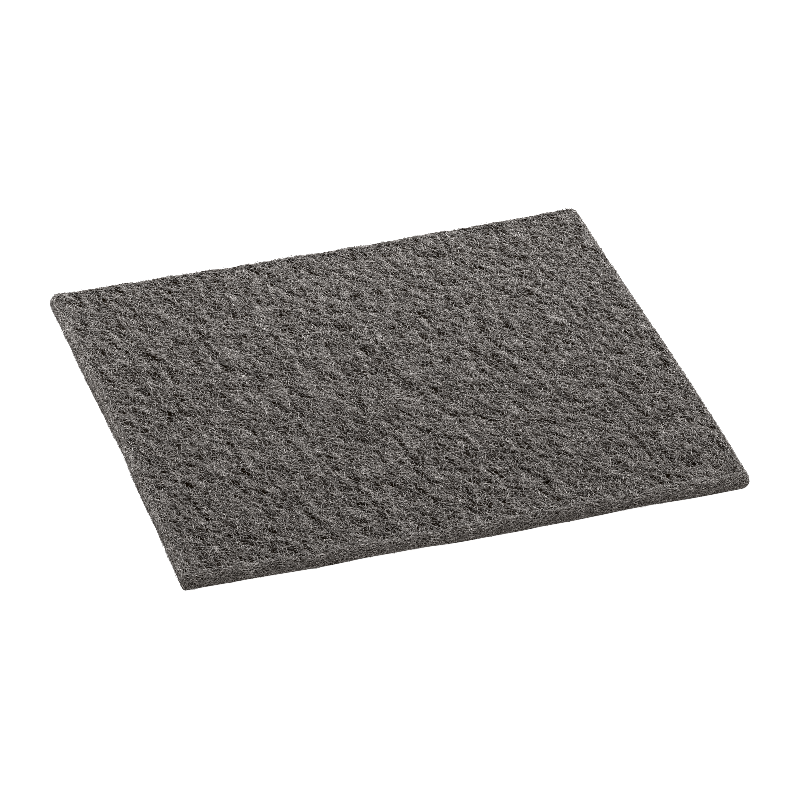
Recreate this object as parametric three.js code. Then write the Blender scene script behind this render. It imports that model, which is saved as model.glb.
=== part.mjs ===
// Sanding pad: one flat rectangular sheet of non-woven abrasive fleece, lying flat.
// Millimetres, +Z up. The origin is the middle of the underside, the length runs along X.
import * as THREE from "three";
import { ImprovedNoise } from "three/addons/math/ImprovedNoise.js";

// Driving dimensions of the sheet
const PAD_LENGTH = 140;
const PAD_WIDTH = 115; // at mid length
const PAD_THICKNESS = 3.8; // from the underside to the mean height of the uppermost strands
const CORNER_RADIUS = 1.6;
const SHARP_CORNER_RADIUS = 0.5; // of the near left corner
const RIM_SOFTENING = 0.4; // how far the cut edge falls back at its upper and lower rims

// How far the soft sheet is out of true
const WIDTH_TAPER = 1; // how much wider the right end is than the left
const FAR_SIDE_BOW = 1.2; // how far the ends of the far long side lie behind its middle
const NEAR_SIDE_BOW = 0.6; // the same for the near long side
const SHORT_SIDE_BOW = 0.5; // how far the ends of the short sides lie to the left of their middles
const CUT_WANDER = 0.35; // how far the cut line strays from its bow
const WANDER_SPACING = 22; // distance over which the cut line strays and comes back

// Relief of the matted fibres on the upper face
const TUFT_HEIGHT = 0.75; // tufts above, and hollows below, the mean height
const TUFT_SPACING = 3.4; // across the grain of the web
const STRAND_HEIGHT = 0.8; // ridges where bundles of fibre cross, above the dips between them
const STRAND_SPACING = 5.5; // across the grain of the web
const GRAIN_ANGLE = THREE.MathUtils.degToRad(112); // from the length of the pad to the grain of its web
const GRAIN_STRETCH = 2.5; // how many times longer tufts and ridges are along the grain than across it
const CALM_BORDER = 6; // how far in from the cut edge the relief reaches its full height
const CALM_SHARE = 0.35; // share of its height that the relief keeps at the cut edge

// Facets of the upper face, between the corners and round each corner
const FACETS_ALONG_LENGTH = 70;
const FACETS_ALONG_WIDTH = 58;
const FACETS_AT_CORNER = 3;

// Matt warm grey of the coated fibres
const FLEECE_COLOUR = 0x5f5c58;
const FLEECE_ROUGHNESS = 0.95;

// Separate layers of one noise field, so that no two features repeat each other
const noise = new ImprovedNoise();
const WANDER_X_LAYER = 2.5;
const WANDER_Y_LAYER = 5.5;
const TUFT_LAYER = 8.5;
const STRAND_LAYER = 11.5;

function noiseAt(x, y, spacing, layer) {
  return noise.noise(x / spacing, y / spacing, layer);
}

// Share of the relief's height at a point of the plan: less beside the cut edge than within.
function reliefShare(x, y) {
  const inside = Math.min(PAD_LENGTH / 2 - Math.abs(x), PAD_WIDTH / 2 - Math.abs(y));
  return THREE.MathUtils.lerp(CALM_SHARE, 1, THREE.MathUtils.smoothstep(inside, 0, CALM_BORDER));
}

// Height of the upper face at a point of the plan: tufts along the grain, with strands as sharp ridges.
function upperHeight(x, y) {
  const along = (x * Math.cos(GRAIN_ANGLE) + y * Math.sin(GRAIN_ANGLE)) / GRAIN_STRETCH;
  const across = y * Math.cos(GRAIN_ANGLE) - x * Math.sin(GRAIN_ANGLE);
  const tuft = TUFT_HEIGHT * noiseAt(along, across, TUFT_SPACING, TUFT_LAYER);
  const dip = STRAND_HEIGHT * Math.abs(noiseAt(along, across, STRAND_SPACING, STRAND_LAYER));
  return PAD_THICKNESS + reliefShare(x, y) * (tuft - dip);
}

// Plan position of a point given as shares u and v (-1 to 1) of the half length and half width.
// A square corner is drawn in to a round one, and inset moves the whole outline inwards.
function planPoint(u, v, inset) {
  const halfLength = PAD_LENGTH / 2 - inset;
  const halfWidth = PAD_WIDTH / 2 - inset;
  const radius = (u < 0 && v < 0 ? SHARP_CORNER_RADIUS : CORNER_RADIUS) - inset;
  let x = u * halfLength;
  let y = v * halfWidth;
  const overX = Math.abs(x) - (halfLength - radius);
  const overY = Math.abs(y) - (halfWidth - radius);
  if (overX > 0 && overY > 0) {
    const drawn = Math.max(overX, overY) / Math.hypot(overX, overY);
    x = Math.sign(x) * (halfLength - radius + overX * drawn);
    y = Math.sign(y) * (halfWidth - radius + overY * drawn);
  }
  const longSideBow = THREE.MathUtils.mapLinear(v, -1, 1, NEAR_SIDE_BOW, FAR_SIDE_BOW);
  const widening = (WIDTH_TAPER / 4) * u * v;
  const strayX = noiseAt(x, y, WANDER_SPACING, WANDER_X_LAYER);
  const strayY = noiseAt(x, y, WANDER_SPACING, WANDER_Y_LAYER);
  return new THREE.Vector2(
    x - SHORT_SIDE_BOW * v * v + CUT_WANDER * strayX,
    y + longSideBow * u * u + widening + CUT_WANDER * strayY,
  );
}

// Shares (-1 to 1) of the facet corners along a side: small steps at each corner, even ones between.
function sideShares(side, facets) {
  const corner = (2 * CORNER_RADIUS) / side;
  const shares = [];
  for (let k = 0; k < FACETS_AT_CORNER; k++) {
    shares.push((corner * k) / FACETS_AT_CORNER - 1);
  }
  for (let k = 0; k <= facets; k++) {
    shares.push((1 - corner) * ((2 * k) / facets - 1));
  }
  for (let k = FACETS_AT_CORNER - 1; k >= 0; k--) {
    shares.push(1 - (corner * k) / FACETS_AT_CORNER);
  }
  return shares;
}

const lengthShares = sideShares(PAD_LENGTH, FACETS_ALONG_LENGTH);
const widthShares = sideShares(PAD_WIDTH, FACETS_ALONG_WIDTH);

// The shares u and v of the facet corners round the outline, anticlockwise from the near left corner.
function outlineShares() {
  return [
    ...lengthShares.slice(0, -1).map((u) => [u, -1]),
    ...widthShares.slice(0, -1).map((v) => [1, v]),
    ...lengthShares.slice(1).reverse().map((u) => [u, 1]),
    ...widthShares.slice(1).reverse().map((v) => [-1, v]),
  ];
}

// Triangles of the upper face, as points in order
function upperFace() {
  const corner = (i, j) => {
    const plan = planPoint(lengthShares[i], widthShares[j], RIM_SOFTENING);
    return new THREE.Vector3(plan.x, plan.y, upperHeight(plan.x, plan.y));
  };
  const points = [];
  for (let i = 0; i + 1 < lengthShares.length; i++) {
    for (let j = 0; j + 1 < widthShares.length; j++) {
      const a = corner(i, j);
      const b = corner(i + 1, j);
      const c = corner(i + 1, j + 1);
      const d = corner(i, j + 1);
      points.push(a, b, c, a, c, d);
    }
  }
  return points;
}

// The rings of points round the cut edge, from the underside's rim up to the upper face's rim
function edgeRings() {
  const shares = outlineShares();
  const rims = shares.map(([u, v]) => planPoint(u, v, RIM_SOFTENING));
  const walls = shares.map(([u, v]) => planPoint(u, v, 0));
  const upper = rims.map((p) => upperHeight(p.x, p.y));
  const ring = (plan, height) => plan.map((p, k) => new THREE.Vector3(p.x, p.y, height(k)));
  return [
    ring(rims, () => 0),
    ring(walls, () => RIM_SOFTENING),
    ring(walls, (k) => upper[k] - RIM_SOFTENING),
    ring(rims, (k) => upper[k]),
  ];
}

// Triangles of the cut edge, between each ring and the one above it
function cutEdge(rings) {
  const points = [];
  for (let r = 0; r + 1 < rings.length; r++) {
    const low = rings[r];
    const high = rings[r + 1];
    for (let k = 0; k < low.length; k++) {
      const next = (k + 1) % low.length;
      points.push(low[k], low[next], high[next], low[k], high[next], high[k]);
    }
  }
  return points;
}

// Triangles of the flat underside, inside its rim
function underside(rim) {
  const outline = rim.map((p) => new THREE.Vector2(p.x, p.y));
  const triangles = THREE.ShapeUtils.triangulateShape(outline, []);
  return triangles.flatMap(([a, b, c]) => [rim[a], rim[c], rim[b]]);
}

// The closed sheet, moved so that the middle of its box is over the origin
function fleeceSheet() {
  const rings = edgeRings();
  const points = [...upperFace(), ...cutEdge(rings), ...underside(rings[0])];
  const geometry = new THREE.BufferGeometry().setFromPoints(points);
  geometry.computeBoundingBox();
  const middle = geometry.boundingBox.getCenter(new THREE.Vector3());
  geometry.translate(-middle.x, -middle.y, 0);
  geometry.computeVertexNormals();
  return geometry;
}

const fleece = new THREE.MeshStandardMaterial({
  color: FLEECE_COLOUR,
  roughness: FLEECE_ROUGHNESS,
  metalness: 0,
});
const pad = new THREE.Mesh(fleeceSheet(), fleece);
pad.name = "abrasive_pad";

const sandingPad = new THREE.Group();
sandingPad.add(pad);

export default sandingPad;
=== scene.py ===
"""Sanding pad of non-woven abrasive fleece: a matted body, and the crimped strands that lie in its faces.

Lengths are in metres and angles in degrees, unless a comment says otherwise. Everything is placed by the
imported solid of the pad.
"""
import math

import bpy
import numpy as np
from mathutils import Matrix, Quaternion, Vector, noise
from mathutils.bvhtree import BVHTree


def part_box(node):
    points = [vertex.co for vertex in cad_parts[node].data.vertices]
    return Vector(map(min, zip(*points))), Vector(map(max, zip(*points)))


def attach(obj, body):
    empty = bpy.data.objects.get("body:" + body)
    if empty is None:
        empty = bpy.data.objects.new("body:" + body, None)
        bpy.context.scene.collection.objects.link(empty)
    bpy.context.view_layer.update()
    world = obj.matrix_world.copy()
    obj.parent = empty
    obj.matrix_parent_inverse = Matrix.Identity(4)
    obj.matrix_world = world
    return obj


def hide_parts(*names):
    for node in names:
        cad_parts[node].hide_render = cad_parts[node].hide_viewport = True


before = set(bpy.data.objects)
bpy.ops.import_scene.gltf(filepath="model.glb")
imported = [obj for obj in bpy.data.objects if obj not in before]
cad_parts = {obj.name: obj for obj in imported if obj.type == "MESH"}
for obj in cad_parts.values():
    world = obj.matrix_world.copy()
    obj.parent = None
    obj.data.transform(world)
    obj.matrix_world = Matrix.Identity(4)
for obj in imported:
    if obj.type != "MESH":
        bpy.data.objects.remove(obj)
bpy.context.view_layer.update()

NODE = "abrasive_pad"
MM = 0.001
SEED = 7
random = np.random.default_rng(SEED)

# The pad's solid, as faces that rays can be cast at from overhead and from its middle
pad_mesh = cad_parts[NODE].data
pad_tree = BVHTree.FromPolygons(
    [v.co for v in pad_mesh.vertices],
    [p.vertices for p in pad_mesh.polygons],
)
pad_low, pad_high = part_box(NODE)
pad_half = np.array((pad_high.x, pad_high.y))
DOWN = Vector((0, 0, -1))
OVERHEAD = 10 * MM
MID_HEIGHT = 2 * MM

# Grain of the web
GRAIN_DIRECTION = 116
STRAND_SPREAD = 0.08  # about how many strands lie across the grain for each one along it

# Streaks where the web is thicker, each with a thinner flank beside it that is also painted darker, as
# painted shade beside a ridge
STREAK_SETS = ((98, 0.47), (116, 0.40), (134, 0.38), (156, 0.44))  # direction and weight
STREAK_LENGTH = 6 * MM
STREAK_WIDTH = 1.3 * MM
SHADED_FLANK_ASIDE = 1.6 * MM
SHADED_FLANK_SHARE = 0.6

# Long bands that the streaks lie in
BAND_DIRECTION = 108
BAND_WEIGHT = 0.18
BAND_LENGTH = 16 * MM
BAND_WIDTH = 4.5 * MM

# Cut edge: how far it bulges, and the rounding of its upper and lower rims
EDGE_BULGE = 0.35 * MM
RIM_ROUND = 0.9 * MM
LOW_ROUND = 0.2 * MM

# How far the underside lifts off the floor here and there
LOW_LIFT = 0.45 * MM
LIFT_MEAN = 0.4  # share of the lift, on the whole
LIFT_SPACING = 12 * MM
LIFT_LAYER = 3.5  # of the noise
CORNER_POWER = 6  # the more, the closer to its corners the pad meets the floor


def upper_heights(x, y):
    """Height of the solid's upper face over each plan point, and nan beyond its edge."""
    found = np.full(x.shape, np.nan)
    for at in np.ndindex(x.shape):
        hit = pad_tree.ray_cast(Vector((x[at], y[at], OVERHEAD)), DOWN)[0]
        if hit is not None:
            found[at] = hit.z
    return found


def wall_points(x, y):
    """Where the solid's cut edge is met on the way out from its middle towards each plan point."""
    middle = Vector((0, 0, MID_HEIGHT))
    hits = [pad_tree.ray_cast(middle, Vector((a, b, 0)))[0] for a, b in zip(x, y)]
    return np.array([hit[:2] for hit in hits])


def plan_noise(x, y, direction, length, width, layer, aside=0):
    """Smooth noise about 0, of that length along the direction and that width across it, moved aside."""
    turn = math.radians(direction)
    along = (x * math.cos(turn) + y * math.sin(turn)) / length
    across = (y * math.cos(turn) - x * math.sin(turn) - aside) / width
    found = np.empty(x.shape)
    for at in np.ndindex(x.shape):
        found[at] = noise.noise(Vector((along[at], across[at], layer)))
    return found


def streaks(x, y):
    """How much more of the web lies at each plan point than on the whole, in bands and crossing streaks.

    Each direction takes the layer of the noise that has its own number. The flank beside each streak has
    less, and where this sets a tone it is painted shade.
    """
    found = np.zeros(x.shape)
    for direction, weight in STREAK_SETS:
        ridge = plan_noise(x, y, direction, STREAK_LENGTH, STREAK_WIDTH, direction)
        shaded_flank = plan_noise(x, y, direction, STREAK_LENGTH, STREAK_WIDTH, direction, SHADED_FLANK_ASIDE)
        found += weight * (ridge - SHADED_FLANK_SHARE * shaded_flank)
    band = plan_noise(x, y, BAND_DIRECTION, BAND_LENGTH, BAND_WIDTH, BAND_DIRECTION)
    return found + BAND_WEIGHT * band


def lifts(x, y):
    """How far the underside lies off the floor, which it meets at its corners."""
    corner = (abs(x * y) / pad_half.prod()) ** CORNER_POWER
    lift = LIFT_MEAN + plan_noise(x, y, GRAIN_DIRECTION, LIFT_SPACING, LIFT_SPACING, LIFT_LAYER)
    return LOW_LIFT * lift.clip(0, 1) * (1 - corner.clip(0, 1))


def bulges(share):
    """How far the cut edge bulges at a share of its height: most halfway up, and not at all at its rims."""
    return EDGE_BULGE * 4 * (share * (1 - share)).clip(0)


# Meshes from arrays of points and faces
def mesh_of(name, vertices, quads, triangles):
    """A smooth mesh of these four-cornered and three-cornered faces."""
    mesh = bpy.data.meshes.new(name)
    mesh.vertices.add(len(vertices))
    mesh.vertices.foreach_set("co", vertices.astype(np.float32).ravel())
    corners = np.concatenate([quads.ravel(), triangles.ravel()]).astype(np.int32)
    mesh.loops.add(len(corners))
    mesh.loops.foreach_set("vertex_index", corners)
    counts = np.concatenate([np.full(len(quads), 4), np.full(len(triangles), 3)])
    starts = np.concatenate([[0], counts.cumsum()[:-1]])
    mesh.polygons.add(len(counts))
    mesh.polygons.foreach_set("loop_start", starts.astype(np.int32))
    mesh.update(calc_edges=True)
    mesh.shade_smooth()
    return mesh


def write_vectors(mesh, name, values):
    """Three numbers for each vertex, which the material reads."""
    attribute = mesh.attributes.new(name, "FLOAT_VECTOR", "POINT")
    attribute.data.foreach_set("vector", values.astype(np.float32).ravel())


def write_map(mesh, places):
    """A bake map that puts each vertex at its place."""
    corners = np.empty(len(mesh.loops), np.int32)
    mesh.loops.foreach_get("vertex_index", corners)
    mesh.uv_layers.new(name="OFBake").uv.foreach_set("vector", places[corners].astype(np.float32).ravel())


# Matted body, which lies a little way in under the strands
BODY_STEP = 0.8 * MM  # side of its faces
BODY_SINK = 0.55 * MM  # under the strands of the upper face
UNDER_SINK = 0.3 * MM  # under those of the underside
WALL_SINK = 0.05 * MM  # under those of the cut edge
RIM_SINK = 0.4 * MM  # under those of the upper rim
SINK_FADE = 0.7 * MM  # distance from the rim over which the sink reaches its full depth
RIM_TURNS = (30, 60, 90)  # rows of points round the upper rim
LOW_TURNS = (90, 45)  # rows of points round the lower rim
WALL_ROWS = 4  # rows of points between the rims
# Painted shade on the body's web is lifted on the underside, where fewer strands lie over it
UNDER_WEB_SHADE_LIFT = 0.38  # how much lighter the underside's web is, which has fewer strands over it


def side_points(count_x, count_y):
    """The four sides of the plan outline: near, far, left and right, with a point for each grid line."""
    x = np.linspace(pad_low.x, pad_high.x, count_x)
    y = np.linspace(pad_low.y, pad_high.y, count_y)
    near = wall_points(x, np.full(count_x, pad_low.y))
    far = wall_points(x, np.full(count_x, pad_high.y))
    left = wall_points(np.full(count_y, pad_low.x), y)
    right = wall_points(np.full(count_y, pad_high.x), y)
    return near, far, left, right


def plan_grid(near, far, left, right):
    """Plan points in rows and columns that follow all four sides of the outline."""
    u = np.linspace(0, 1, len(near))[None, :, None]
    v = np.linspace(0, 1, len(left))[:, None, None]
    between = (1 - v) * near[None] + v * far[None] + (1 - u) * left[:, None] + u * right[:, None]
    corners = (1 - v) * ((1 - u) * near[0] + u * near[-1]) + v * ((1 - u) * far[0] + u * far[-1])
    return between - corners


def ring(grid):
    """The outermost entries of a grid, anticlockwise from its first corner."""
    return np.concatenate([grid[0, :-1], grid[:-1, -1], grid[-1, :0:-1], grid[:0:-1, 0]])


def grid_faces(number):
    """Four-cornered faces between the rows and columns of a grid of vertex numbers, seen from above."""
    faces = np.stack([number[:-1, :-1], number[:-1, 1:], number[1:, 1:], number[1:, :-1]], 2)
    return faces.reshape(-1, 4)


def drawn_in(plan, inset):
    """Plan points moved towards the middle of the pad."""
    return plan * (1 - inset / pad_half)


sides = side_points(
    round((pad_high.x - pad_low.x) / BODY_STEP),
    round((pad_high.y - pad_low.y) / BODY_STEP),
)
pad_plan = plan_grid(*sides)
pad_outline = ring(pad_plan)


def edge_distance(x, y):
    """How far each plan point lies in from the cut edge."""
    near, far, left, right = sides
    return np.minimum.reduce([
        y - np.interp(x, near[:, 0], near[:, 1]),
        np.interp(x, far[:, 0], far[:, 1]) - y,
        x - np.interp(y, left[:, 1], left[:, 0]),
        np.interp(y, right[:, 1], right[:, 0]) - x,
    ])


def rim_drop(distance):
    """How far the rounding of the upper rim lowers the upper face, that far in from the cut edge."""
    return RIM_ROUND - np.sqrt(RIM_ROUND ** 2 - (RIM_ROUND - distance).clip(0, RIM_ROUND) ** 2)


def edge_rows(tops, lows):
    """Rows of points round the cut edge, from the upper rim to the lower one, as insets and heights."""
    rows = []
    sunk_round = RIM_ROUND + RIM_SINK
    for turn in np.radians(RIM_TURNS):
        rows.append((sunk_round * (1 - math.sin(turn)), tops - sunk_round * (1 - math.cos(turn))))
    wall_top = tops - sunk_round
    wall_low = lows + LOW_ROUND
    for share in np.linspace(0, 1, WALL_ROWS + 2)[1:-1]:
        rows.append((-bulges(share), wall_top + (wall_low - wall_top) * share))
    for turn in np.radians(LOW_TURNS):
        rows.append((LOW_ROUND * (1 - math.sin(turn)), lows + LOW_ROUND * (1 - math.cos(turn))))
    return rows


def matted_mesh():
    """The solid's form in small even faces with rounded rims, drawn in under the strands of its faces.

    The attribute called fleece holds how much a point belongs to the cut edge, the streak there, and how
    much the painted shade of its web is lifted, where fewer strands lie over it than on the upper face.
    """
    upper_plan = drawn_in(pad_plan, RIM_ROUND + RIM_SINK + WALL_SINK)
    under_plan = drawn_in(pad_plan, LOW_ROUND + WALL_SINK)
    x, y = upper_plan[:, :, 0], upper_plan[:, :, 1]
    inner = ((edge_distance(x, y) - RIM_ROUND) / SINK_FADE).clip(0, 1)
    top = upper_heights(x, y)
    low = lifts(under_plan[:, :, 0], under_plan[:, :, 1])
    edge = [
        np.column_stack([drawn_in(pad_outline, inset + WALL_SINK), height])
        for inset, height in edge_rows(ring(top), ring(low))
    ]
    vertices = np.concatenate([
        np.dstack([upper_plan, top - BODY_SINK * inner]).reshape(-1, 3),
        np.dstack([under_plan, low + UNDER_SINK * inner]).reshape(-1, 3),
        *edge,
    ])
    upper_number = np.arange(x.size).reshape(x.shape)
    under_number = upper_number + x.size
    edge_number = 2 * x.size + np.arange(len(edge) * len(pad_outline)).reshape(len(edge), -1)
    rows = np.vstack([ring(upper_number), edge_number, ring(under_number)])
    rows = np.column_stack([rows, rows[:, 0]])
    faces = np.concatenate([
        grid_faces(upper_number),
        grid_faces(under_number)[:, ::-1],
        grid_faces(rows)[:, ::-1],
    ])
    mesh = mesh_of("fleece_body", vertices, faces, np.empty((0, 3), int))
    wall_share = np.concatenate([1 - inner.ravel(), 1 - inner.ravel(), np.ones(edge_number.size)])
    streak = streaks(vertices[:, 0], vertices[:, 1])
    shade_lift = np.zeros(len(vertices))
    shade_lift[under_number] = UNDER_WEB_SHADE_LIFT
    write_vectors(mesh, "fleece", np.column_stack([wall_share, streak, shade_lift]))
    return mesh


# Strands: each is a pointed run of a few points, with both ends sunk in the body
STRAND_POINTS = 5
STRAND_RINGS = STRAND_POINTS - 2  # at the points between its ends
STRAND_SIDES = 3
STRAND_LENGTH = (2.0 * MM, 4.2 * MM)
STRAND_RADIUS = (0.033 * MM, 0.055 * MM)
STRAND_CURL = 0.35  # spread in radians of the turn at each point, the same all along a strand
STRAND_BEND = 0.3  # spread in radians of each stretch's own heading
STRAND_TILT = 0.08 * MM
END_DEPTH = 0.8 * MM
STRAND_SHARE = 0.9  # of the strands, where the web is as thick as on the whole
THINNING = 0.45  # how much that share follows the streaks
HEADING_TRIES = 8  # for each strand that is laid
LEAST_LENGTH = 1e-9  # least length that is divided by

# How light strands are: by chance, with painted light and shade round each ring, painted shade where they
# sink, in streaks, and painted light near the rim
TONE_SPREAD = 0.02
# Painted light on each ring's top corner, and painted shade on its two lower corners
RING_LIGHT_AND_SHADE = (0.02, -0.04, -0.06)  # at its top corner and at its two lower ones
# Painted shade: how much darker a point is for each metre it lies deeper than its strand's shallowest point
SINK_SHADE = 0.4 / MM
STREAK_TONE = 0.14
# Painted light on strands near the rim, fading out over RIM_WIDTH
RIM_LIGHT = 0.02
RIM_WIDTH = 3.5 * MM
TONE_LIMITS = (0.02, 0.98)
GRAIN_RUN = 0.2  # share of all the grains that lies along one strand


def spread(count, across, up):
    """Points spread evenly over a rectangle, one by chance in each cell of a grid."""
    rows = round(math.sqrt(count * up / across))
    columns = count // rows
    column, row = np.meshgrid(np.arange(columns), np.arange(rows))
    cells = np.stack([column.ravel(), row.ravel()], 1) + random.uniform(0, 1, (rows * columns, 2))
    return across * cells[:, :1] / columns, up * cells[:, 1:] / rows


def grain_angles(count):
    """Headings in the plane, more of them along the grain of the web than across it."""
    angles = random.uniform(0, math.pi, HEADING_TRIES * count)
    lean = STRAND_SPREAD + np.cos(angles - math.radians(GRAIN_DIRECTION)) ** 2
    kept = angles[random.uniform(0, 1 + STRAND_SPREAD, angles.size) < lean]
    return kept[:count, None]


def bent_runs(headings):
    """Curled runs in a plane, one row of points each, about their own middles."""
    count = len(headings)
    steps = STRAND_POINTS - 1
    step = random.uniform(*STRAND_LENGTH, (count, 1)) / steps
    curl = random.normal(0, STRAND_CURL, (count, 1)) * (np.arange(steps) - (steps - 1) / 2)
    turns = headings + curl + random.normal(0, STRAND_BEND, (count, steps))
    start = np.zeros((count, 1))
    x = np.hstack([start, (step * np.cos(turns)).cumsum(1)])
    y = np.hstack([start, (step * np.sin(turns)).cumsum(1)])
    return x - x.mean(1, keepdims=True), y - y.mean(1, keepdims=True)


def flat_runs(count):
    """Bent runs spread over the pad, with the height of the solid over each of their points."""
    left, near = spread(count, pad_high.x - pad_low.x, pad_high.y - pad_low.y)
    x, y = bent_runs(grain_angles(len(left)))
    x += pad_low.x + left
    y += pad_low.y + near
    top = upper_heights(x, y)
    thick = STRAND_SHARE + THINNING * streaks(x, y).mean(1)
    kept = ~np.isnan(top).any(1) & (random.uniform(0, 1, len(x)) < thick)
    return x[kept], y[kept], top[kept]


def depths(count, least, most):
    """How deep the points of each run lie: shallow along its middle, and sunk in the body at both ends."""
    middle = random.uniform(least, most, (count, 1))
    tilt = random.uniform(0, STRAND_TILT, (count, STRAND_RINGS))
    ends = np.full((count, 1), END_DEPTH)
    return np.hstack([ends, middle + tilt, ends])


def strand_shades(tone, depth):
    """How light each point is: by its strand, and with painted shade where it sinks."""
    own = tone + random.normal(0, TONE_SPREAD, (len(depth), 1))
    return own - SINK_SHADE * (depth - depth.min(1, keepdims=True))


def strand_faces():
    """The faces of one strand: four-cornered between its rings, and three-cornered at its ends."""
    last = STRAND_SIDES * STRAND_RINGS + 1
    to_last_ring = STRAND_SIDES * (STRAND_RINGS - 1)
    quads = []
    triangles = []
    for k in range(STRAND_SIDES):
        a = 1 + k
        b = 1 + (k + 1) % STRAND_SIDES
        for on in range(0, to_last_ring, STRAND_SIDES):
            quads.append((a + on, a + on + STRAND_SIDES, b + on + STRAND_SIDES, b + on))
        triangles.append((0, a, b))
        triangles.append((last, b + to_last_ring, a + to_last_ring))
    return np.array(quads), np.array(triangles)


def strand_mesh(name, points, shade):
    """Closed strands along the rows of points, pointed at both ends, with painted light along their tops
    and painted shade at their lower sides.

    The attribute called strand holds how light a point is and its place along the grains.
    """
    count = len(points)
    tangent = points[:, 2:] - points[:, :-2]
    tangent /= np.linalg.norm(tangent, axis=2, keepdims=True)
    side = np.cross(tangent, (0.0, 0.0, 1.0))
    side /= np.maximum(np.linalg.norm(side, axis=2, keepdims=True), LEAST_LENGTH)
    lift = np.cross(side, tangent)
    turns = 2 * math.pi * np.arange(STRAND_SIDES) / STRAND_SIDES + math.pi / 2
    out = np.cos(turns)[:, None] * side[:, :, None] + np.sin(turns)[:, None] * lift[:, :, None]
    radius = random.uniform(*STRAND_RADIUS, count)
    rings = points[:, 1:-1, None] + out * radius[:, None, None, None]
    vertices = np.concatenate([points[:, :1], rings.reshape(count, -1, 3), points[:, -1:]], 1)
    repeats = (1, *(STRAND_SIDES,) * STRAND_RINGS, 1)
    tones = np.repeat(shade, repeats, 1)
    tones[:, 1:-1] += np.tile(RING_LIGHT_AND_SHADE, STRAND_RINGS)
    start = random.uniform(0, 1 - GRAIN_RUN, (count, 1))
    grain = start + np.repeat(np.linspace(0, GRAIN_RUN, STRAND_POINTS), repeats)
    strand = np.stack([tones.clip(*TONE_LIMITS), grain, np.zeros_like(grain)], 2).reshape(-1, 3)
    quads, triangles = strand_faces()
    first = vertices.shape[1] * np.arange(count)[:, None, None]
    mesh = mesh_of(
        name,
        vertices.reshape(-1, 3),
        (first + quads).reshape(-1, 4),
        (first + triangles).reshape(-1, 3),
    )
    write_vectors(mesh, "strand", strand)
    write_map(mesh, strand[:, :2])
    return mesh


# Layers of strands in the upper face, from the deepest up, each deeper one painted darker as shade
LAYERS = 4
LAYER_STRANDS = 11000
LAYER_DEPTH = 0.45 * MM  # of all the layers together
DEEPEST_TONE = 0.60
UPPERMOST_TONE = 0.70


def upper_layer(number):
    """One layer of the upper face's strands, lowered where the rim is rounded."""
    x, y, top = flat_runs(LAYER_STRANDS)
    most = LAYER_DEPTH * (LAYERS - number) / LAYERS
    depth = depths(len(x), most - LAYER_DEPTH / LAYERS, most)
    distance = edge_distance(x, y)
    z = top - depth - rim_drop(distance)
    tone = DEEPEST_TONE + (UPPERMOST_TONE - DEEPEST_TONE) * number / (LAYERS - 1)
    rim = (1 - distance / RIM_WIDTH).clip(0, 1)
    shade = strand_shades(tone, depth) + STREAK_TONE * streaks(x, y) + RIM_LIGHT * rim
    return strand_mesh("upper_strands_%d" % (number + 1), np.stack([x, y, z], 2), shade)


# Strands of the underside
UNDER_STRANDS = 5000
UNDER_TONE = 0.6
UNDER_DEPTH = 0.3 * MM


def under_layer():
    """Shallow strands in the underside, whose middles stay at least a radius off the floor."""
    x, y, _ = flat_runs(UNDER_STRANDS)
    depth = depths(len(x), STRAND_RADIUS[1], UNDER_DEPTH)
    shade = strand_shades(UNDER_TONE, depth) + STREAK_TONE * streaks(x, y)
    return strand_mesh("under_strands", np.stack([x, y, lifts(x, y) + depth], 2), shade)


# Strands of the cut edge
EDGE_STRANDS = 7000
EDGE_SLOPE = 0.5  # spread in radians of how steeply they rise or fall
EDGE_DEPTH = (-0.15 * MM, 0.05 * MM)
EDGE_GAP = 0.15 * MM  # least height over the lower rim
# Painted shade: strands on the cut edge are darker than on the upper face, and lighten to the fold's tone
# as they turn on to it
EDGE_TONE = 0.485

# Their fold over the upper rim
EDGE_FOLD = 0.9 * MM  # how much farther than the pad's height they climb
FOLD_DEPTH = (-0.25 * MM, 0.4 * MM)
# Painted shade where a folded strand sinks, and painted light where it stands out
FOLD_SINK_SHADE = 0.3 / MM
FOLD_TONE = 0.635
FOLD_DROP = 0.95 * MM  # how far below the upper face they have the fold's tone
FOLD_RISE = 0.7 * MM  # height over which they come to it
FOLD_WANDER = 1.2 * MM  # how far streaks move it up or down

# The closed way round the outline, and how far each of its points is along it
walk = np.vstack([pad_outline, pad_outline[:1]])
walked = np.concatenate([[0], np.linalg.norm(np.diff(walk, axis=0), axis=1).cumsum()])


def walk_points(along):
    """Plan points that far along the way round the outline."""
    place = along % walked[-1]
    return np.interp(place, walked, walk[:, 0]), np.interp(place, walked, walk[:, 1])


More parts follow.
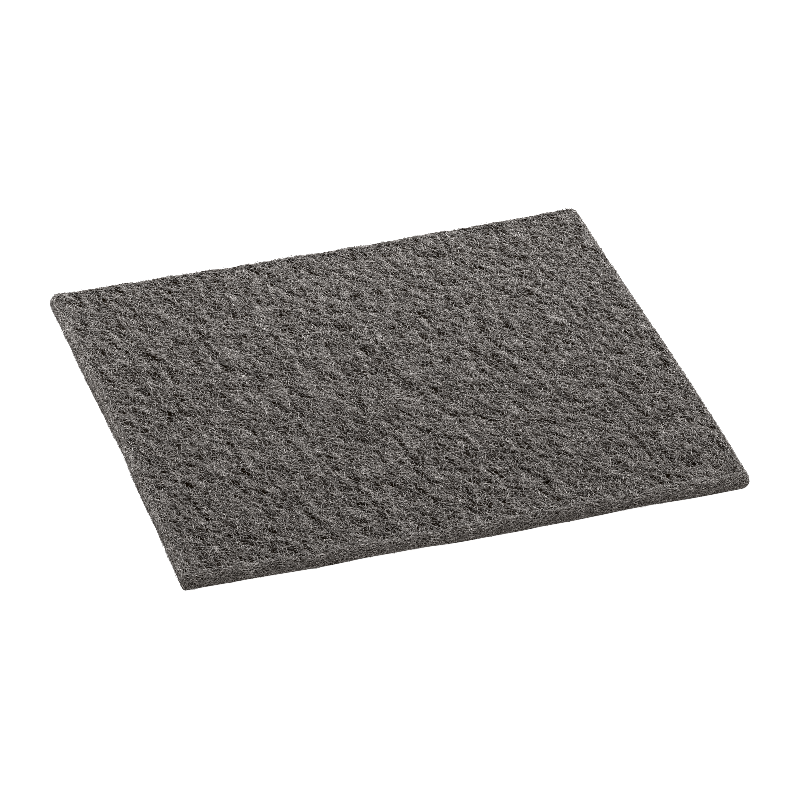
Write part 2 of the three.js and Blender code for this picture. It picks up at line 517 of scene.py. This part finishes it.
def edge_layer():
    """Strands laid round the outline and up the cut edge, over its rounded rim and on to the upper face."""
    along, climb = spread(EDGE_STRANDS, walked[-1], pad_high.z + EDGE_FOLD)
    run, rise = bent_runs(random.normal(0, EDGE_SLOPE, along.shape))
    along = along + run
    climb = climb + rise
    x, y = walk_points(along)
    ahead_x, ahead_y = walk_points(along + BODY_STEP)
    size = np.hypot(ahead_x - x, ahead_y - y)
    out_x = (ahead_y - y) / size
    out_y = (x - ahead_x) / size
    top = upper_heights(x - RIM_ROUND * out_x, y - RIM_ROUND * out_y)
    wall_top = top - RIM_ROUND
    beyond = climb - wall_top
    turn = (beyond / RIM_ROUND).clip(0, math.pi / 2)
    fold_depth = random.uniform(*FOLD_DEPTH, (len(x), 1)) * np.sin(turn)
    depth = depths(len(x), *EDGE_DEPTH) + fold_depth
    on_top = (beyond - RIM_ROUND * math.pi / 2).clip(0)
    inset = RIM_ROUND * (1 - np.cos(turn)) + on_top + depth * np.cos(turn) - bulges(climb / wall_top)
    z = climb - beyond.clip(0) + RIM_ROUND * np.sin(turn) - depth * np.sin(turn)
    points = np.stack([x - inset * out_x, y - inset * out_y, z], 2)
    kept = (climb > lifts(x, y) + EDGE_GAP).all(1) & ~np.isnan(top).any(1)
    streak = streaks(x, y)
    folded = ((climb - top + FOLD_DROP + FOLD_WANDER * streak) / FOLD_RISE + 1).clip(0, 1)
    fold_tone = FOLD_TONE - EDGE_TONE + STREAK_TONE * streak
    shade = strand_shades(EDGE_TONE, depth) + fold_tone * folded - FOLD_SINK_SHADE * fold_depth
    return strand_mesh("edge_strands", points[kept], shade[kept])


# Warm grey of the fleece: its level out of 255 at each tone, and how far its red and blue are off that
SHADES = ((0.0, 6), (0.3, 60), (0.55, 122), (0.8, 184), (1.0, 228))
RED_ABOVE = 4.5
BLUE_BELOW = 3.5


def linear(level):
    """Light of a display level out of 255, by the sRGB curve."""
    share = max(level, 0) / 255
    return share / 12.92 if share < 0.04045 else ((share + 0.055) / 1.055) ** 2.4


def warm_grey(level):
    """Colour of a grey of that level, a little red and a little short of blue."""
    return linear(level + RED_ABOVE), linear(level), linear(level - BLUE_BELOW), 1


class Nodes:
    """A material's node tree, with short ways to add to it."""

    def __init__(self, name):
        self.material = bpy.data.materials.new(name)
        self.material.use_nodes = True
        self.nodes = self.material.node_tree.nodes
        self.links = self.material.node_tree.links
        self.shader = self.nodes["Principled BSDF"]

    def add(self, kind, inputs=(), **settings):
        """A node of that kind with these settings, and its inputs set or linked by name or number."""
        node = self.nodes.new("ShaderNode" + kind)
        for name, value in settings.items():
            setattr(node, name, value)
        for name, value in dict(inputs).items():
            self.feed(node.inputs[name], value)
        return node

    def feed(self, socket, value):
        """Link a node's output to an input, or set the input to a plain value."""
        if isinstance(value, bpy.types.NodeSocket):
            self.links.new(value, socket)
        else:
            socket.default_value = value

    def math(self, operation, *values):
        return self.add("Math", enumerate(values), operation=operation).outputs[0]

    def vector(self, operation, *values):
        return self.add("VectorMath", enumerate(values), operation=operation).outputs[0]

    def step(self, value, low, high):
        """0 below low, 1 above high, and smooth between."""
        inputs = {"Value": value, "From Min": low, "From Max": high}
        return self.add("MapRange", inputs, interpolation_type="SMOOTHSTEP").outputs["Result"]

    def mix(self, share, a, b):
        return self.add("Mix", {"Factor": share, "A": a, "B": b}).outputs["Result"]

    def chance(self, number):
        """A number from 0 to 1 by chance for each whole number."""
        return self.add("TexWhiteNoise", {"W": number}, noise_dimensions="1D").outputs["Value"]

    def shade(self, tone):
        """The fleece's grey for a tone from 0 to 1."""
        ramp = self.add("ValToRGB", {"Fac": tone})
        stops = ramp.color_ramp.elements
        while len(stops) < len(SHADES):
            stops.new(0.5)
        for stop, (place, level) in zip(stops, SHADES):
            stop.position = place
            stop.color = warm_grey(level)
        return ramp.outputs["Color"]

    def surface(self, colour, roughness, specular):
        """Give the shader its colour, as a value or from a node, and how rough and shiny it is."""
        self.feed(self.shader.inputs["Base Color"], colour)
        self.shader.inputs["Roughness"].default_value = roughness
        self.shader.inputs["Specular IOR Level"].default_value = specular


# Grains of abrasive along the strands
GRAIN_CELLS = 70
GRAIN_SHARE = 0.82  # range from the darkest grain to the lightest, as a share of the strand's own tone
STRAND_ROUGHNESS = 0.65
STRAND_SPECULAR = 0.1


def strand_material():
    tree = Nodes("coated_strand")
    place = tree.add("Attribute", attribute_name="strand").outputs["Vector"]
    light, along, _ = tree.add("SeparateXYZ", {"Vector": place}).outputs
    cell = tree.math("FLOOR", tree.math("MULTIPLY", along, GRAIN_CELLS))
    grain = tree.math("MULTIPLY_ADD", tree.chance(cell), GRAIN_SHARE, 1 - GRAIN_SHARE / 2)
    tone = tree.math("MULTIPLY", light, grain)
    tree.surface(tree.shade(tone), STRAND_ROUGHNESS, STRAND_SPECULAR)
    return tree.material


# Layers of finer strands in the body's surface, from the deepest up: angle from the grain, how light. All
# are painted far darker than the strands over them and the deeper ones darker still, as painted shade
WEB_LAYERS = (
    (70, 0.13),
    (-35, 0.18),
    (12, 0.23),
    (-60, 0.29),
    (-8, 0.35),
)
WEB_TONE_SPREAD = 0.1
# Painted shade at the sides of the web's strands
WEB_SIDE_SHADE = 0.4  # how much darker a strand is at its sides than along its top
WEB_STREAK_TONE = 0.6
WEB_ROUGHNESS = 0.8

# Form of those strands, with lengths in millimetres as in the body's material
WEB_LANE = 0.6  # width that each strand has to itself
WEB_LANE_PLACES = (0.25, 0.75)  # shares of that width that strands lie between
WEB_RADIUS = 0.1
WEB_CRIMP = 1.4
WEB_CRIMP_LENGTH = 1.5
WEB_SHOWN_LENGTH = 0.6  # of the stretches where a strand comes up into sight
WEB_SHOWN = (0.44, 0.52)  # levels of the noise between which it comes up
WEB_SOFT_SIDE = 0.3  # share of its height over which it comes to cover what lies under it
WEB_LAYER_STEP = (13.7, 7.3, 0)  # from one layer's place in the noise to the next one's
WEB_LANE_STEP = 5.3  # from one strand's place in the noise to the next one's

# Relief of those strands
WEB_RISE = 0.5
WEB_LAYER_RISE = 0.07
WEB_BUMP = 0.7
WEB_BUMP_HEIGHT = 0.25 * MM

# Mottled surface of the body at the cut edge
CUT_STRETCH = (1, 1, 1.6)
CUT_SCALE = 3.2
CUT_CONTRAST = 2.2
CUT_LEAST_TONE = -0.84
CUT_BLEND = (0.5, 1.0)  # how much points belong to the cut edge where this begins and where it is full


def web_layer(tree, place, angle, seed):
    """How much a layer of crimped strands covers each point, its roundness there and a chance number."""
    inputs = {"Vector": place, "Angle": -math.radians(GRAIN_DIRECTION - 90 + angle)}
    turned = tree.add("VectorRotate", inputs, rotation_type="Z_AXIS").outputs[0]
    moved = tree.vector("ADD", turned, tuple(seed * step for step in WEB_LAYER_STEP))
    bends = tree.add("TexNoise", {"Vector": moved, "Scale": 1 / WEB_CRIMP_LENGTH, "Detail": 1})
    bent = tree.vector("MULTIPLY_ADD", bends.outputs["Color"], (WEB_CRIMP,) * 3, moved)
    split = tree.add("SeparateXYZ", {"Vector": bent}).outputs
    lane = tree.math("DIVIDE", split["X"], WEB_LANE)
    number = tree.math("FLOOR", lane)
    chance = tree.chance(number)
    first, last = WEB_LANE_PLACES
    centre = tree.math("MULTIPLY_ADD", chance, last - first, first)
    off = tree.math("ABSOLUTE", tree.math("SUBTRACT", tree.math("FRACT", lane), centre))
    share = tree.math("MULTIPLY", off, WEB_LANE / WEB_RADIUS)
    along = tree.math("DIVIDE", split["Y"], WEB_SHOWN_LENGTH)
    aside = tree.math("MULTIPLY", number, WEB_LANE_STEP)
    spot = tree.add("CombineXYZ", {"X": along, "Y": aside}).outputs[0]
    rise = tree.add("TexNoise", {"Vector": spot, "Scale": 1, "Detail": 0}).outputs["Fac"]
    shown = tree.step(rise, *WEB_SHOWN)
    round_top = tree.math("SUBTRACT", 1, tree.math("MULTIPLY", share, share))
    cover = tree.math("MULTIPLY", tree.step(round_top, 0.0, WEB_SOFT_SIDE), shown)
    return cover, tree.math("MULTIPLY", tree.math("MAXIMUM", round_top, 0), shown), chance


def body_material():
    tree = Nodes("matted_web")
    place = tree.vector("MULTIPLY", tree.add("TexCoord").outputs["Object"], (1 / MM,) * 3)
    fleece = tree.add("Attribute", attribute_name="fleece").outputs["Vector"]
    wall, streak, shade_lift = tree.add("SeparateXYZ", {"Vector": fleece}).outputs
    flat = tree.vector("MULTIPLY", place, (1, 1, 0))
    # Painted shade: black where no layer of the web covers the body
    tone = 0.0
    height = 0.0
    for seed, (angle, light) in enumerate(WEB_LAYERS):
        cover, rise, chance = web_layer(tree, flat, angle, seed)
        own = tree.math("MULTIPLY_ADD", chance, WEB_TONE_SPREAD, light - WEB_TONE_SPREAD / 2)
        own = tree.math("ADD", tree.math("MULTIPLY_ADD", streak, WEB_STREAK_TONE, own), shade_lift)
        # Painted shade at the sides of each strand of the web
        side_shade = tree.math("MULTIPLY_ADD", rise, WEB_SIDE_SHADE, 1 - WEB_SIDE_SHADE)
        tone = tree.mix(cover, tone, tree.math("MULTIPLY", own, side_shade))
        layer_height = tree.math("MULTIPLY_ADD", rise, WEB_RISE, WEB_LAYER_RISE * seed)
        height = tree.math("MAXIMUM", height, layer_height)
    cut_place = tree.vector("MULTIPLY", place, CUT_STRETCH)
    cut = tree.add("TexNoise", {"Vector": cut_place, "Scale": CUT_SCALE, "Detail": 2})
    cut_tone = tree.math("MULTIPLY_ADD", cut.outputs["Fac"], CUT_CONTRAST, CUT_LEAST_TONE)
    tone = tree.mix(tree.step(wall, *CUT_BLEND), tone, cut_tone)
    tree.surface(tree.shade(tone), WEB_ROUGHNESS, 0)
    bump = tree.add("Bump", {"Height": height, "Strength": WEB_BUMP, "Distance": WEB_BUMP_HEIGHT})
    tree.feed(tree.shader.inputs["Normal"], bump.outputs["Normal"])
    return tree.material


def place_piece(mesh, material):
    """The mesh as a piece of the pad, in place of its solid."""
    mesh.materials.append(material)
    piece = bpy.data.objects.new(mesh.name, mesh)
    bpy.context.scene.collection.objects.link(piece)
    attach(piece, "root")
    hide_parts(NODE)
    return piece


body = place_piece(matted_mesh(), body_material())
strands = strand_material()
for number in range(LAYERS):
    place_piece(upper_layer(number), strands)
place_piece(under_layer(), strands)
place_piece(edge_layer(), strands)

# Floor
FLOOR_SIDE = 8
FLOOR_GAP = 0.02 * MM
FLOOR_COLOUR = (0.8, 0.8, 0.8, 1)
FLOOR_ROUGHNESS = 0.9
FLOOR_GLOW = 0.8

# Light
SKY_COLOUR = (1.025, 1.0, 0.975, 1)
SKY_STRENGTH = 0.7
SOFTBOX_COLOUR = (0.98, 1.0, 1.02)
SOFTBOX_SIZE = (0.35, 0.25)
SOFTBOX_PLACES = ((-0.08, 0.37, 0.32), (0.22, 0.37, 0.32))
SOFTBOX_WATTS = (4.2, 4.75)


def white_floor():
    half = FLOOR_SIDE / 2
    mesh = bpy.data.meshes.new("floor")
    corners = [(-half, -half), (half, -half), (half, half), (-half, half)]
    mesh.from_pydata([(x, y, -FLOOR_GAP) for x, y in corners], [], [(0, 1, 2, 3)])
    tree = Nodes("floor")
    tree.surface(FLOOR_COLOUR, FLOOR_ROUGHNESS, 0)
    tree.shader.inputs["Emission Color"].default_value = (1, 1, 1, 1)
    tree.shader.inputs["Emission Strength"].default_value = FLOOR_GLOW
    mesh.materials.append(tree.material)
    floor = bpy.data.objects.new("floor", mesh)
    bpy.context.scene.collection.objects.link(floor)


def studio_light():
    world = bpy.data.worlds.new("studio")
    world.use_nodes = True
    world.node_tree.nodes["Background"].inputs["Color"].default_value = SKY_COLOUR
    world.node_tree.nodes["Background"].inputs["Strength"].default_value = SKY_STRENGTH
    bpy.context.scene.world = world
    for place, watts in zip(SOFTBOX_PLACES, SOFTBOX_WATTS):
        lamp = bpy.data.lights.new("softbox", "AREA")
        lamp.shape = "RECTANGLE"
        lamp.size, lamp.size_y = SOFTBOX_SIZE
        lamp.energy = watts
        lamp.color = SOFTBOX_COLOUR
        box = bpy.data.objects.new("softbox", lamp)
        box.location = place
        box.rotation_mode = "QUATERNION"
        box.rotation_quaternion = (-box.location).to_track_quat("-Z", "Y")
        bpy.context.scene.collection.objects.link(box)


# Camera
CAMERA_AZIMUTH = -21.25
CAMERA_ELEVATION = 37.30
CAMERA_ROLL = 3.29
CAMERA_DISTANCE = 1016.2 * MM
CAMERA_TARGET = Vector((1.05 * MM, -2.67 * MM, 0))
FOCAL_LENGTH_MM = 188.69
SENSOR_WIDTH_MM = 36
FILTER_PIXELS = 0.7  # narrow, and with no denoising, because a strand is less than a pixel wide


def aim_camera():
    azimuth = math.radians(CAMERA_AZIMUTH)
    elevation = math.radians(CAMERA_ELEVATION)
    forward = Vector((
        -math.sin(azimuth) * math.cos(elevation),
        math.cos(azimuth) * math.cos(elevation),
        -math.sin(elevation),
    ))
    lens = bpy.data.cameras.new("camera")
    lens.lens = FOCAL_LENGTH_MM
    lens.sensor_width = SENSOR_WIDTH_MM
    camera = bpy.data.objects.new("camera", lens)
    camera.location = CAMERA_TARGET - CAMERA_DISTANCE * forward
    camera.rotation_mode = "QUATERNION"
    roll = Quaternion((0, 0, 1), math.radians(CAMERA_ROLL))
    camera.rotation_quaternion = forward.to_track_quat("-Z", "Y") @ roll
    bpy.context.scene.collection.objects.link(camera)
    bpy.context.scene.camera = camera


white_floor()
studio_light()
aim_camera()
bpy.context.scene.view_settings.view_transform = "Standard"
bpy.context.scene.cycles.use_denoising = False
bpy.context.scene.cycles.filter_width = FILTER_PIXELS
